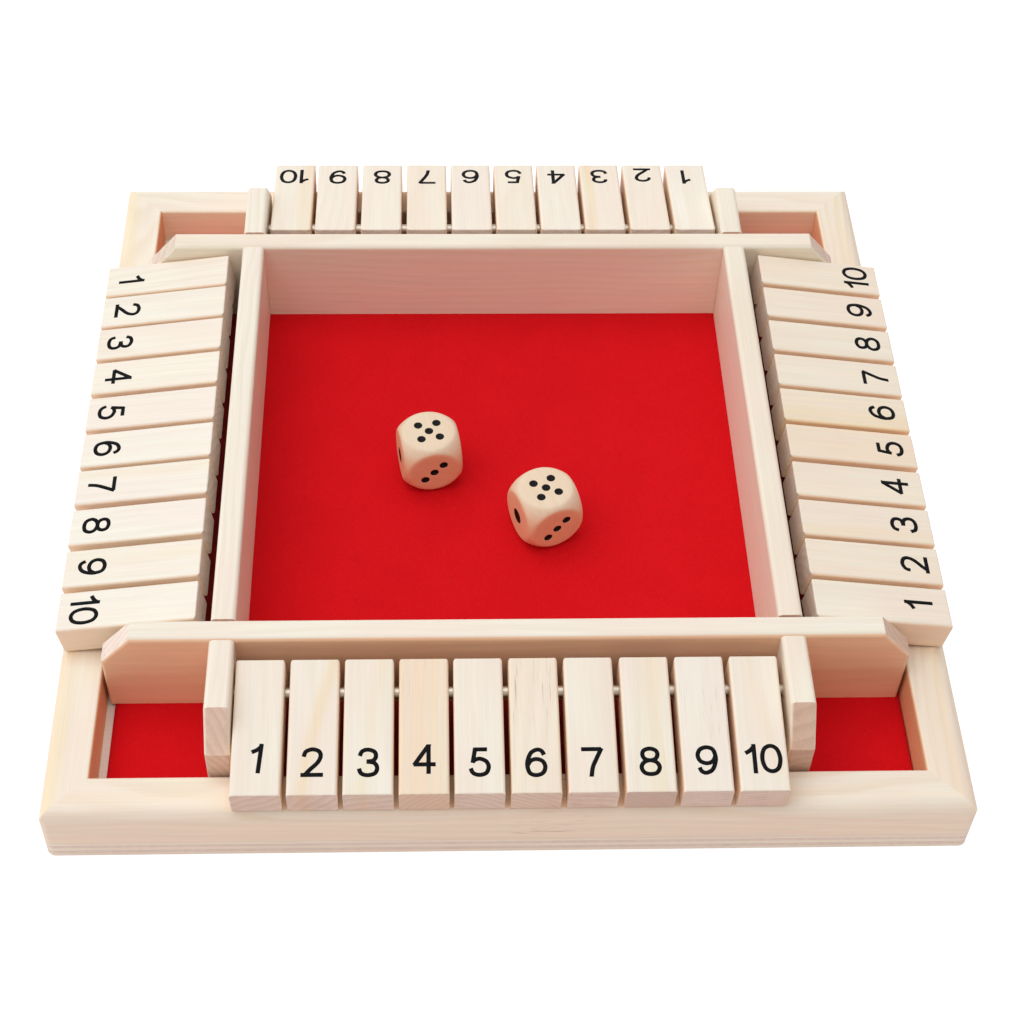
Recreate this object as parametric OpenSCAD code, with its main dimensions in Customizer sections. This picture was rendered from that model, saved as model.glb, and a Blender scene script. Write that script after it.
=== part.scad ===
// Shut the box game for up to four players.
// A square wooden tray: a plywood base board, a mitred frame, a red felt lining and
// four cross-lapped divider walls. Along each side a row of number tiles is threaded
// on a steel rod. The tiles rest on the frame and flip up to lean on the divider
// wall. Two wooden dice lie on the felt.
// Millimetres. The origin is the centre of the underside, +Z is up, the front is -Y.

/* [Tray] */
// Outer side of the square tray
tray_side = 220; // [205:1:250]
// Thickness of the plywood base board
base_t = 5.6; // [3:0.1:9]
// Radius of the tray's four upright corners
corner_r = 2; // [0.5:0.1:3]
// Thickness of the felt lining
felt_t = 1.2; // [0.5:0.1:2.5]
// Bare strip of base board beside the left rail
felt_short = 2.1; // [0.2:0.1:6]
// Clearance between the felt and the other rails
felt_clear = 0.2; // [0:0.1:1]

/* [Frame] */
// Width of a frame rail
rail_w = 11; // [8:0.5:14]
// Height of a frame rail
rail_h = 11.4; // [9:0.1:13]
// Rounding of a rail's outer top edge
rail_round = 3.3; // [1:0.1:5]
// Rounding of a rail's inner top edge
rail_inner_round = 0.8; // [0.2:0.1:2]

/* [Divider walls] */
// Thickness of a divider wall
wall_t = 6.1; // [5:0.1:8]
// Height of a divider wall above the felt
wall_h = 26.6; // [24:0.1:29]
// Clear depth of a tile row, from the frame to the divider wall
row_depth = 27.5; // [25:0.5:30]
// Rounding of a divider wall's two long top edges
wall_round = 1.2; // [0.3:0.1:2.4]
// Rounding of a divider wall's edges down its slopes and its ends
wall_end_round = 0.9; // [0.2:0.1:2.4]
// Length of the slope at each end of a divider wall
slope_run = 7.5; // [2:0.1:10]
// Height of the slope at each end of a divider wall
slope_drop = 8.8; // [2:0.1:12]
// Gap between each end of a divider wall and the frame
wall_end_gap = 0.8; // [0.1:0.1:2.5]
// Clearance on each side of the cross-lap notches
lap_clear = 0.05; // [0.02:0.01:0.3]

/* [Rods] */
// Diameter of a rod
rod_d = 3; // [2:0.1:4]
// Height of the rods' centre lines above the felt
rod_rise = 18.6; // [17:0.1:20]
// Distance from a divider wall to the rod's centre line
rod_reach = 10.1; // [9.5:0.1:13]
// Wood left behind the blind hole that seats a rod's end
seat_skin = 2; // [1:0.1:3]
// Radial clearance of a rod in its seat
seat_fit = 0.03; // [0.01:0.01:0.1]
// Clearance between each end of a rod and the bottom of its seat
rod_end_play = 0.1; // [0.05:0.05:1]
// Chamfer on a rod's ends
rod_chamfer = 0.3; // [0.1:0.1:0.6]

/* [Tiles] */
// Tiles in each row
tile_count = 10; // [6:1:10]
// Length of a tile
tile_l = 34.8; // [33:0.5:40]
// Thickness of a tile
tile_t = 9; // [6:0.1:10]
// Gap between neighbouring tiles, and between a row's end and the wall
tile_gap = 1.26; // [0.4:0.02:2]
// Rounding of a tile's four long edges
tile_round = 0.7; // [0.3:0.1:2]
// Rounding of a tile's top and bottom end edges
tile_end_round = 0.4; // [0.1:0.1:1]
// Rounding of the two upright corners at a tile's inner end
tile_corner_round = 1; // [0.3:0.1:2]
// Distance from a tile's inner end to the centre of its bore
bore_setback = 6.8; // [5:0.1:8]
// Radial clearance of a tile's bore on the rod
bore_fit = 0.08; // [0.02:0.01:0.1]
// Clearance between a resting tile and the rail under it
rest_gap = 0.15; // [0.05:0.05:0.5]

/* [Dice] */
// Side of a die
die_s = 16; // [10:0.5:18]
// Diameter of the ball that rounds a die's corners and edges, as a share of its side
die_ball = 1.32; // [1.2:0.01:1.6]
// Diameter of a pip
pip_d = 2.1; // [1:0.1:2.6]
// Diameter of the single pip on the one's face
one_pip_d = 4.2; // [1:0.1:5]
// Depth of a pip
pip_depth = 0.5; // [0.2:0.1:0.8]
// Distance from the middle of a face to its outer pips, along each edge
pip_step = 2.5; // [1.6:0.1:3]
// Clearance between a die and the felt
die_clear = 0.05; // [0.01:0.01:0.3]
// Where the first die lies: its place to the right and to the back, and its turn
die_1_spot = [-18.9, 4.5, 10.5];
// Where the second die lies
die_2_spot = [11.7, -15.6, 21.9];

/* [Hidden] */
$fn = 96;
cut = 1; // how far a cutting solid runs past the surface that it cuts

// Tray
half_side = tray_side / 2;
inner = half_side - rail_w; // centre to the frame's inner face
rail_top = base_t + rail_h;
floor_z = base_t + felt_t;

// Divider walls
wall_outer = inner - row_depth; // centre to a wall's outer face
wall_inner = wall_outer - wall_t;
wall_mid = wall_outer - wall_t / 2;
wall_top = floor_z + wall_h;
wall_end = inner - wall_end_gap;
lap_z = floor_z + wall_h / 2;
slope_angle = atan2(slope_drop, slope_run);

// Rods
bay = 2 * wall_inner; // clear width between the walls at a row's two ends
rod_out = wall_outer + rod_reach;
rod_z = floor_z + rod_rise;
seat_depth = wall_t - seat_skin;
rod_l = bay + 2 * (seat_depth - rod_end_play);

// Tiles
tile_w = (bay - (tile_count + 1) * tile_gap) / tile_count;
tile_pitch = tile_w + tile_gap;
// A resting tile slopes down from the rod to the rounded edge of the rail. Its
// underside is tangent to a circle of this radius round the rounding's centre.
rest_r = rail_round + rest_gap + tile_t / 2;
rest_run = half_side - rail_round - rod_out;
rest_rise = rod_z - (rail_top - rail_round);
rest_tilt = acos(rest_r / norm([rest_run, rest_rise])) - atan2(rest_run, rest_rise);

SIDES = ["front", "right", "back", "left"]; // each is a quarter turn on from the last

// How far each tile has slid along its rod from even spacing, in gaps. One row for
// each of SIDES, with tile 1 first.
SLIDES = [
    [-0.65, -0.65, -0.7, -0.75, -0.85, -0.75, -0.6, -0.3, -0.1, 0],
    [0.3, 0.3, 0.2, 0.15, 0.3, 0.3, 0.25, 0.35, 0.5, 0.65],
    [-0.3, -0.25, -0.15, -0.2, -0.25, -0.25, -0.15, 0.1, 0.35, 0.25],
    [-0.7, -1.2, -1.5, -1.55, -1.45, -1.45, -1.6, -1.35, -1, -0.8]
];

function tile_name(side, n) = str("tile_", side, "_", n);

// Where the pips of each number sit, in steps from the middle of the face
CORNERS = [[-1, -1], [1, 1], [-1, 1], [1, -1]];
function pips(number) =
    number == 1 ? [[0, 0]] :
    number == 2 ? [CORNERS[0], CORNERS[1]] :
    number == 3 ? concat(pips(2), pips(1)) :
    number == 4 ? CORNERS :
    number == 5 ? concat(CORNERS, pips(1)) :
    concat(CORNERS, [[-1, 0], [1, 0]]);

// Turns what is drawn for the front side round to side 0 to 3 of SIDES
module on_side(index) {
    rotate([0, 0, 90 * index]) children();
}

// Runs a section along the front side. The section's x is the distance from the
// tray's centre and its y is the height.
module along_side(length) {
    rotate([90, 0, -90]) linear_extrude(height = length, center = true) children();
}

// A rectangle on the x axis, from x = 0 to w, with its two top corners rounded
module round_topped(w, h, r_near, r_far) {
    difference() {
        square([w, h]);
        translate([0, h]) mirror([0, 1]) corner_cut(r_near);
        translate([w, h]) rotate(180) corner_cut(r_far);
    }
}

// What rounding by r takes off a corner at the origin that opens towards +x and +y
module corner_cut(r) {
    difference() {
        translate([-cut, -cut]) square(r + cut);
        translate([r, r]) circle(r);
    }
}

// A rectangle round the origin with four rounded corners
module round_rect(w, h, r) {
    square([w, h - 2 * r], center = true);
    square([w - 2 * r, h], center = true);
    for (x = [-1, 1])
        for (y = [-1, 1])
            translate([x * (w / 2 - r), y * (h / 2 - r)]) circle(r);
}

// Flat square of plywood under the whole tray
module base_board() {
    color("burlywood")
        linear_extrude(height = base_t)
            round_rect(tray_side, tray_side, corner_r);
}

// One sheet of felt over the floor, cut a little short on the left
module felt_lining() {
    color("crimson")
        translate([-inner + felt_short, -inner + felt_clear, base_t])
            cube([2 * inner - felt_short - felt_clear, 2 * (inner - felt_clear), felt_t]);
}

// Rail of the frame, mitred at both ends and rounded on top
module frame_rail(index) {
    color("blanchedalmond")
        on_side(index)
            intersection() {
                along_side(tray_side + 2 * cut)
                    translate([inner, base_t])
                        round_topped(rail_w, rail_h, rail_inner_round, rail_round);
                linear_extrude(height = rail_top + cut)
                    intersection() {
                        round_rect(tray_side, tray_side, corner_r);
                        polygon([[0, 0], [-half_side, -half_side], [half_side, -half_side]]);
                    }
            }
}

// Divider wall that runs from frame to frame. The front and back walls lie over the
// left and right ones where they cross: each is notched for the other to half height.
module divider_wall(index) {
    over = index % 2 == 0;
    color("antiquewhite")
        on_side(index)
            difference() {
                wall_blank();
                for (s = [-1, 1]) {
                    translate([s * wall_mid, -wall_mid, 0]) lap_notch(over);
                    translate([s * rod_out, -wall_inner, rod_z]) rod_seat();
                }
            }
}

// Divider wall before it is notched and drilled: sloping ends, and its edges rounded
// along the top, down the slopes and down the ends
module wall_blank() {
    intersection() {
        along_side(2 * wall_end)
            translate([wall_inner, floor_z])
                round_topped(wall_t, wall_h, wall_round, wall_round);
        translate([0, -wall_mid, 0]) wall_outline();
        translate([0, -wall_mid, 0]) slope_stock(-1);
        translate([0, -wall_mid, 0]) slope_stock(1);
        translate([0, -wall_mid, 0])
            linear_extrude(height = wall_top + cut)
                round_rect(2 * wall_end, wall_t, wall_end_round);
    }
}

// A divider wall's outline seen from its player, drawn through more than its thickness
module wall_outline() {
    rotate([90, 0, 0])
        linear_extrude(height = wall_t + 2 * cut, center = true)
            polygon([
                [-wall_end, floor_z],
                [wall_end, floor_z],
                [wall_end, wall_top - slope_drop],
                [wall_end - slope_run, wall_top],
                [-wall_end + slope_run, wall_top],
                [-wall_end, wall_top - slope_drop]
            ]);
}

// Everything below the slope at a wall's left end (-1) or right end (1), as deep as
// the tray is wide, with the two edges along the slope rounded
module slope_stock(end) {
    translate([end * (wall_end - slope_run), 0, wall_top])
        rotate([0, end * slope_angle, 0])
            along_side(2 * tray_side)
                translate([-wall_t / 2, -tray_side])
                    round_topped(wall_t, tray_side, wall_end_round, wall_end_round);
}

// Half-height notch that takes the crossing wall: from below, or from the top
module lap_notch(from_below) {
    width = wall_t + 2 * lap_clear;
    low = from_below ? floor_z - cut : lap_z;
    high = from_below ? lap_z : wall_top + cut;
    translate([-width / 2, -wall_t / 2 - cut, low])
        cube([width, wall_t + 2 * cut, high - low]);
}

// Blind hole in a wall's inner face that holds the end of a rod
module rod_seat() {
    rotate([90, 0, 0])
        translate([0, 0, -cut])
            cylinder(r = rod_d / 2 + seat_fit, h = seat_depth + cut);
}

// Rod that carries a row of tiles, from one wall to the other
module tile_rod(index) {
    r = rod_d / 2;
    end = rod_l / 2;
    color("silver")
        on_side(index)
            translate([0, -rod_out, rod_z])
                rotate([0, 90, 0])
                    rotate_extrude()
                        polygon([
                            [0, -end],
                            [r - rod_chamfer, -end],
                            [r, -end + rod_chamfer],
                            [r, end - rod_chamfer],
                            [r - rod_chamfer, end],
                            [0, end]
                        ]);
}

// Tile n of a row, counted from the left as the player on that side sees it. It lies
// on its rod and slopes down to the frame.
module tile(index, n) {
    even = (n - (tile_count + 1) / 2) * tile_pitch;
    color("wheat")
        on_side(index)
            translate([even + SLIDES[index][n - 1] * tile_gap, -rod_out, rod_z])
                rotate([rest_tilt, 0, 0])
                    difference() {
                        translate([0, bore_setback - tile_l / 2, 0]) tile_blank();
                        rotate([0, 90, 0])
                            cylinder(r = rod_d / 2 + bore_fit, h = tile_w + 2 * cut, center = true);
                    }
}

// Tile round the origin: rounded stock, cut to length with its end edges eased and
// the corners of its inner end, at +y, rounded
module tile_blank() {
    intersection() {
        rotate([90, 0, 0])
            linear_extrude(height = tile_l, center = true)
                round_rect(tile_w, tile_t, tile_round);
        rotate([90, 0, 90])
            linear_extrude(height = tile_w, center = true)
                round_rect(tile_l, tile_t, tile_end_round);
        linear_extrude(height = tile_t + 2 * cut, center = true)
            translate([-tile_w / 2, -tile_l / 2])
                round_topped(tile_w, tile_l, tile_corner_round, tile_corner_round);
    }
}

// Die that shows five on top, three to the front and one to the left
module die(spot) {
    color("navajowhite")
        translate([spot[0], spot[1], floor_z + die_clear + die_s / 2])
            rotate([0, 0, spot[2]])
                difference() {
                    intersection() {
                        cube(die_s, center = true);
                        sphere(d = die_s * die_ball);
                    }
                    die_face(5);
                    rotate([90, 0, 0]) die_face(3);
                    rotate([0, -90, 0]) die_face(1);
                    rotate([0, 90, 0]) die_face(6);
                    rotate([-90, 0, 0]) die_face(4);
                    rotate([180, 0, 0]) die_face(2);
                }
}

// The pips of the die's top face
module die_face(number) {
    for (p = pips(number))
        translate([p[0] * pip_step, p[1] * pip_step, die_s / 2])
            pip_cut(number == 1 ? one_pip_d : pip_d);
}

// Ball that leaves a dimple of diameter d in a face at z = 0
module pip_cut(d) {
    r = (d * d / 4 + pip_depth * pip_depth) / (2 * pip_depth);
    translate([0, 0, r - pip_depth]) sphere(r);
}

base_board();
felt_lining();
for (i = [0:3]) {
    frame_rail(i);
    divider_wall(i);
    tile_rod(i);
    for (n = [1:tile_count])
        tile(i, n);
}
die(die_1_spot);  // die_1
die(die_2_spot);  // die_2
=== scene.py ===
# %% [markdown]
# # A shut the box game, dressed in Blender
# The game is a square wooden tray for up to four players. Four divider walls cross in it,
# red felt lines it, and ten number tiles hang on a steel rod along each side. Two wooden
# dice lie in the middle.
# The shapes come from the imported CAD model, which is a fixed frame: no CAD mesh is
# changed. Blender gives each piece its finish, and adds what is too fine for the CAD
# solids: the felt's nap, the printed numbers and the rounding of the dice.

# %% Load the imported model
import math
import random
from itertools import product

import bmesh
import bpy
from mathutils import Matrix, Vector
from mathutils import noise as solid_noise


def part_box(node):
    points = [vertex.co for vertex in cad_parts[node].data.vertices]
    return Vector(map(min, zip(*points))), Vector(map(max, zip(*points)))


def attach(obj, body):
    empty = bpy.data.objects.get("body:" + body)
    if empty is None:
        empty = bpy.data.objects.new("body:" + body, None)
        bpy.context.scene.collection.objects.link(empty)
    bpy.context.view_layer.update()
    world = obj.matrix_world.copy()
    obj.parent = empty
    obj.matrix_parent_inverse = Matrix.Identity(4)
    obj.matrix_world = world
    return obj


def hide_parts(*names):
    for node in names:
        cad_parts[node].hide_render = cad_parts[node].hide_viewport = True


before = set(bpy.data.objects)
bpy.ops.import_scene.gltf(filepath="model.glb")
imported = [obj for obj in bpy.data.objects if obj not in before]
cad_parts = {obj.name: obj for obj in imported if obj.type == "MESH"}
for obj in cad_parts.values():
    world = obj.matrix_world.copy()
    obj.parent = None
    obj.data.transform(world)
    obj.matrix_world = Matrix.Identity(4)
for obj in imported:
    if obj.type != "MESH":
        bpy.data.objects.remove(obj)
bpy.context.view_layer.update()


# %% [markdown]
# ## Sizes that the finishes need
# A finish has to know where its piece is: the grain of a tile runs along the tile, and
# the plies of the base board are told apart by their height. So the few sizes that are
# needed are written once here, in metres, as the CAD source has them. They could be
# measured from the meshes, but written values are easier to read.

# %% Sizes from the CAD source
MM = 0.001
BASE_THICKNESS = 5.6 * MM
ROD_OUT = 81.6 * MM
ROD_HEIGHT = 25.4 * MM
TILE_PITCH = 12.954 * MM
TILE_TILT = math.radians(8.309)
TILE_TOP = 4.5 * MM
TILE_OUTER_END = 28.0 * MM
TILE_COUNT = 10
DIE_SIDE = 16.0 * MM
SIDES = ("front", "right", "back", "left")
PLAYER_TURN = math.radians(90)
TO_FRONT, TO_RIGHT, TO_BACK, TO_LEFT = (0, -1, 0), (1, 0, 0), (0, 1, 0), (-1, 0, 0)
ORIGIN = (0.0, 0.0, 0.0)
WHITE = (1.0, 1.0, 1.0, 1.0)

# how far each tile has slid along its rod, in gaps of 1.26 mm, tile 1 first
TILE_GAP = 1.26 * MM
SLIDES = {
    "front": [-0.65, -0.65, -0.7, -0.75, -0.85, -0.75, -0.6, -0.3, -0.1, 0],
    "right": [0.3, 0.3, 0.2, 0.15, 0.3, 0.3, 0.25, 0.35, 0.5, 0.65],
    "back": [-0.3, -0.25, -0.15, -0.2, -0.25, -0.25, -0.15, 0.1, 0.35, 0.25],
    "left": [-0.7, -1.2, -1.5, -1.55, -1.45, -1.45, -1.6, -1.35, -1, -0.8],
}

low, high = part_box("tile_front_1")
print("first front tile:", [round(v / MM, 2) for v in low], [round(v / MM, 2) for v in high])

# %% [markdown]
# ## The camera
# The photograph looks down on the game from the front, at about 50 degrees, from half a
# metre away. All values come from a pinhole camera that was fitted to the tray's corners.
# The small shift stands for the part of the frame that the photograph was cut from.

# %% Camera
CAMERA_PLACE = (-0.0184156, -0.3423272, 0.4082673)
CAMERA_TURNS = (40.2928, -1.17296, -1.38129)
LENS = {
    "sensor_width": 36.0, "lens": 67.916,
    "shift_x": 0.02013, "shift_y": -0.02316,
    "clip_start": 0.01, "clip_end": 20.0,
}


def set_all(thing, settings):
    """Gives a thing its settings by their names."""
    for name, value in settings.items():
        setattr(thing, name, value)


def in_scene(name, data):
    """Puts a new object in the scene."""
    made = bpy.data.objects.new(name, data)
    bpy.context.scene.collection.objects.link(made)
    return made


lens = bpy.data.cameras.new("photo_camera")
set_all(lens, LENS)
camera = in_scene("photo_camera", lens)
camera.location = CAMERA_PLACE
camera.rotation_euler = [math.radians(turn) for turn in CAMERA_TURNS]
bpy.context.scene.camera = camera
print("camera height in mm:", round(camera.location.z / MM))

# %% [markdown]
# ## Small helpers for node trees
# A material in Blender is a tree of nodes. Each node takes three lines: make it, set it,
# link it. These helpers do the three in one call, so the trees below read like recipes.

# %% Node helpers


def node(tree, kind, sockets=None, **settings):
    """Adds a node. sockets gives each input a value, or an output to be linked to."""
    made = tree.nodes.new(kind)
    set_all(made, settings)
    for name, value in (sockets or {}).items():
        if isinstance(value, bpy.types.NodeSocket):
            tree.links.new(value, made.inputs[name])
        else:
            made.inputs[name].default_value = value
    return made


def add_socket(tree, name, kind, value=None, in_out="INPUT"):
    """Gives a node group one more input, or output."""
    socket = tree.interface.new_socket(name, in_out=in_out, socket_type=f"NodeSocket{kind}")
    if value is not None:
        socket.default_value = value


def calc(tree, operation, *terms):
    """Adds a Math node over the terms and returns its output."""
    return node(tree, "ShaderNodeMath", dict(enumerate(terms)), operation=operation).outputs[0]


def times(tree, first, second):
    """One number times another."""
    return calc(tree, "MULTIPLY", first, second)


def step(tree, value, start, end, low=0.0, high=1.0):
    """Takes value smoothly from low to high as it goes from start to end."""
    sockets = {"Value": value, "From Min": start, "From Max": end, "To Min": low, "To Max": high}
    return node(tree, "ShaderNodeMapRange", sockets, interpolation_type="SMOOTHSTEP").outputs[0]


def axis_value(tree, vector, axis):
    """One number of a vector."""
    return node(tree, "ShaderNodeSeparateXYZ", {"Vector": vector}).outputs[axis]


def dot(tree, vector, way):
    """How far a vector points along a way."""
    return node(tree, "ShaderNodeVectorMath", {0: vector, 1: way}, operation="DOT_PRODUCT").outputs["Value"]


def tint(tree, amount, first, second, blend_type="MIX"):
    """Mixes two colours."""
    sockets = {0: amount, 6: first, 7: second}
    return node(tree, "ShaderNodeMix", sockets, data_type="RGBA", blend_type=blend_type).outputs[2]


def stained(tree, color, stain, amount=1.0):
    """A colour times another: a stain, or painted light or shade."""
    return tint(tree, amount, color, stain, "MULTIPLY")


def noise(tree, place, stretch, detail=2.0, roughness=0.5):
    """Noise whose grains are 1 / stretch millimetres long along each axis."""
    scaled = node(tree, "ShaderNodeVectorMath", {0: place, 1: stretch}, operation="MULTIPLY")
    sockets = {"Vector": scaled.outputs[0], "Scale": 1.0, "Detail": detail, "Roughness": roughness}
    return node(tree, "ShaderNodeTexNoise", sockets).outputs[0]


def rgb(red, green, blue):
    """A colour as four numbers, in linear light."""
    return (red, green, blue, 1.0)


print("node helpers are ready")

# %% [markdown]
# ## The wood: pine figure as a solid pattern
# All of the game is pale pine under a satin varnish. Real figure isn't painted on a
# board: it is where the saw met the growth rings of a log. So one node group holds a
# log. It takes a place in millimetres, with the grain along Y, works out how far that
# place is from the log's heart, and turns the distance into rings. A long face then
# shows streaks and an end shows arcs, and both meet along the edges as in real wood.
# An image of wood would be quicker, but it would repeat, and its ends would be wrong.
# Each board is told apart by one number, which sets where in the log it was sawn. The
# other inputs say how warm it is, how clear its rings are, whether a honey-coloured
# streak runs through it, whether it has brown dashes, and how dark its ends are.

# %% Pine figure: colours and inputs
CREAM = rgb(0.910, 0.815, 0.685)
PEACH = rgb(0.900, 0.690, 0.475)
HONEY = rgb(0.885, 0.700, 0.450)
LATE_WOOD = rgb(0.790, 0.600, 0.400)
RESIN = rgb(0.360, 0.200, 0.110)
END_SHADE = rgb(0.850, 0.775, 0.790)
END_RING = rgb(0.560, 0.400, 0.330)
STREAK_WIDTH = 2.4
BOARD_LOOK = {
    "Board": 0.0, "Warmth": 0.1, "Rings": 0.5,
    "Streak": 0.0, "Streak place": 0.0, "Streak lean": 0.0, "Streak width": STREAK_WIDTH,
    "Dashes": 0.0, "Dash place": 0.0, "Dark ends": 0.0,
}

pine = bpy.data.node_groups.new("pine_figure", "ShaderNodeTree")
for name in ("Place", "Facing"):
    add_socket(pine, name, "Vector")
for name, value in BOARD_LOOK.items():
    add_socket(pine, name, "Float", value)
for name, kind in {"Color": "Color", "Height": "Float", "Roughness": "Float"}.items():
    add_socket(pine, name, kind, in_out="OUTPUT")

pine_in = pine.nodes.new("NodeGroupInput").outputs
place, board = pine_in["Place"], pine_in["Board"]
across, along, through = node(pine, "ShaderNodeSeparateXYZ", {"Vector": place}).outputs
print("pine_figure has", len(pine.interface.items_tree), "sockets")

# %% [markdown]
# The rings darken slowly from early wood into late wood, and then the next year starts.
# Broad noise bends them a little, because no tree is round. White Noise gives three
# numbers that stay the same all over one board, and they place the log's heart.

# %% Pine figure: growth rings
HEART_SPREAD = 110.0
HEART_NEAREST = 18.0
HEART_DEPTH_SPREAD = 40.0
GRAIN_SLANT = 0.16
RING_WAVE = 8.0
RING_NARROWEST = 1.5
RING_SPREAD = 1.4


def to_both_sides(chance, spread):
    """Takes a chance from 0 to 1 to a value that lies evenly round zero."""
    return calc(pine, "MULTIPLY_ADD", chance, spread, -spread / 2)


seed = node(pine, "ShaderNodeTexWhiteNoise", {"W": board}, noise_dimensions="1D").outputs["Color"]
heart_side, heart_depth, slant = node(pine, "ShaderNodeSeparateColor", {"Color": seed}).outputs
side_run = to_both_sides(heart_side, HEART_SPREAD)
side_drift = times(pine, to_both_sides(slant, GRAIN_SLANT), along)
from_side = calc(pine, "ADD", calc(pine, "ADD", across, side_run), side_drift)
depth_run = calc(pine, "MULTIPLY_ADD", heart_depth, HEART_DEPTH_SPREAD, HEART_NEAREST)
from_depth = calc(pine, "ADD", through, depth_run)
square_sum = calc(pine, "MULTIPLY_ADD", from_side, from_side, times(pine, from_depth, from_depth))
from_heart = calc(pine, "SQRT", square_sum)

shift = node(pine, "ShaderNodeCombineXYZ", {"X": times(pine, board, 37.0), "Y": times(pine, board, 91.0)})
own_place = node(pine, "ShaderNodeVectorMath", {0: place, 1: shift.outputs[0]}, operation="ADD").outputs[0]
bend = noise(pine, own_place, (0.06, 0.016, 0.06), detail=1.0)
bent = calc(pine, "MULTIPLY_ADD", bend, RING_WAVE, from_heart)
ring_width = calc(pine, "MULTIPLY_ADD", slant, RING_SPREAD, RING_NARROWEST)
year = calc(pine, "FRACT", calc(pine, "DIVIDE", bent, ring_width))
late = times(pine, step(pine, year, 0.15, 0.85), step(pine, year, 1.0, 0.82))
print("rings are", RING_NARROWEST, "to", RING_NARROWEST + RING_SPREAD, "mm wide")

# %% [markdown]
# Under a varnish the fibres show as fine lines, some boards have a honey-coloured streak
# where the tree stored resin, and some have short brown dashes where resin ducts were
# cut open. All of it is noise that is pulled out along the grain. The streak is the
# neighbourhood of a slanting plane through the board, so it runs through to the end too.

# %% Pine figure: fibres, streaks and dashes
STREAK_WANDER = 3.0
DASHES_FULL = 5.0
DASHES_END = 11.0

fibre = noise(pine, own_place, (2.4, 0.05, 2.4), detail=3.0, roughness=0.55)
thread_lines = noise(pine, own_place, (0.9, 0.012, 0.9), detail=2.0)
cloud = noise(pine, own_place, (0.10, 0.025, 0.10), detail=2.0)
wander = noise(pine, own_place, (0.02, 0.05, 0.05), detail=1.0)

centre_line = calc(pine, "MULTIPLY_ADD", pine_in["Streak lean"], along, pine_in["Streak place"])
centre_line = calc(pine, "ADD", centre_line, to_both_sides(wander, STREAK_WANDER))
off_line = calc(pine, "ABSOLUTE", calc(pine, "SUBTRACT", across, centre_line))
near_line = step(pine, calc(pine, "DIVIDE", off_line, pine_in["Streak width"]), 1.25, 0.0)
streak = times(pine, near_line, step(pine, thread_lines, 0.30, 0.62, 0.45, 1.0))

duct = noise(pine, own_place, (3.2, 0.09, 3.2), detail=2.0)
from_dashes = calc(pine, "ABSOLUTE", calc(pine, "SUBTRACT", along, pine_in["Dash place"]))
near_dashes = step(pine, from_dashes, DASHES_END, DASHES_FULL)
dashes = times(pine, step(pine, duct, 0.60, 0.72), near_dashes)
print("fibres are about 0.4 mm apart and 20 mm long")

# %% Pine figure: colour
DASH_STRENGTH = 0.50

ring_strength = step(pine, cloud, 0.3, 0.7, 0.14, 0.50)
ring_share = times(pine, times(pine, late, pine_in["Rings"]), ring_strength)
streak_share = times(pine, streak, pine_in["Streak"])
dash_share = times(pine, times(pine, dashes, pine_in["Dashes"]), DASH_STRENGTH)
warm_share = times(pine, pine_in["Warmth"], step(pine, thread_lines, 0.3, 0.7, 0.80, 1.15))
wood = tint(pine, warm_share, CREAM, PEACH)
wood = tint(pine, ring_share, wood, LATE_WOOD)
wood = tint(pine, streak_share, wood, HONEY)
wood = tint(pine, dash_share, wood, RESIN)
fibre_shade = step(pine, fibre, 0.25, 0.75, 0.965, 1.015)
thread_shade = step(pine, thread_lines, 0.25, 0.75, 0.970, 1.010)
shade = times(pine, fibre_shade, thread_shade)
cool_shade = times(pine, shade, step(pine, cloud, 0.3, 0.7, 0.960, 1.020))
shade_color = node(pine, "ShaderNodeCombineColor", {"Red": shade, "Green": cool_shade, "Blue": cool_shade})
wood = stained(pine, wood, shade_color.outputs[0])
print("colours:", CREAM[:3], "to", LATE_WOOD[:3])

# %% [markdown]
# Cut across, the fibres are open tubes. They drink the varnish, so an end is greyer and
# darker than a face, and its rings are clearer. The group tells ends by how far the
# surface faces along Y. A board with dark ends drank more than its neighbours.

# %% Pine figure: cut ends and outputs
END_ROUGHER = 0.25

facing_along = axis_value(pine, pine_in["Facing"], "Y")
cut_end = step(pine, calc(pine, "ABSOLUTE", facing_along), 0.55, 0.85)
open_tubes = noise(pine, own_place, (3.2, 0.3, 3.2), detail=3.0)
end_bands = noise(pine, own_place, (0.20, 0.02, 0.34), detail=2.0)
end_rings = calc(pine, "MULTIPLY_ADD", late, 0.30, step(pine, end_bands, 0.45, 0.75, 0.0, 0.28))
end_wood = tint(pine, end_rings, stained(pine, wood, END_SHADE), END_RING)
end_wood = tint(pine, step(pine, open_tubes, 0.45, 0.8, 0.0, 0.28), end_wood, RESIN)
end_wood = tint(pine, pine_in["Dark ends"], end_wood, END_RING)
color = tint(pine, cut_end, wood, end_wood)
height = calc(pine, "MULTIPLY_ADD", late, 0.35, fibre)
gloss = step(pine, fibre, 0.3, 0.7, 0.42, 0.54)
rough = calc(pine, "MULTIPLY_ADD", cut_end, END_ROUGHER, gloss)
node(pine, "NodeGroupOutput", {"Color": color, "Height": height, "Roughness": rough})
print("pine_figure has", len(pine.nodes), "nodes")

# %% [markdown]
# ## One board, one material
# A board's material only has to say where the middle of the board is, which way its
# grain runs, and which board it is. Mapping nodes take the object's own coordinates to
# the middle, and turn them until the grain runs along Y. The surface direction is turned
# with them, so ends are found wherever the piece is.
# The forty tiles could share four materials, but real tiles are sawn from many boards,
# and the photograph shows pale ones beside warm ones. So each tile has its own.
# Where one face of a board is deeper or paler in the photograph than the rest of it, it
# gets a face tint: painted light or painted shade on the faces that look one way. The rails
# are also painted a little browner under the tiles, as painted shade.

# %% Surfaces
WOOD_IOR = 1.5
WOOD_SPECULAR = 0.30
GRAIN_DEPTH = 0.1 * MM


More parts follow.
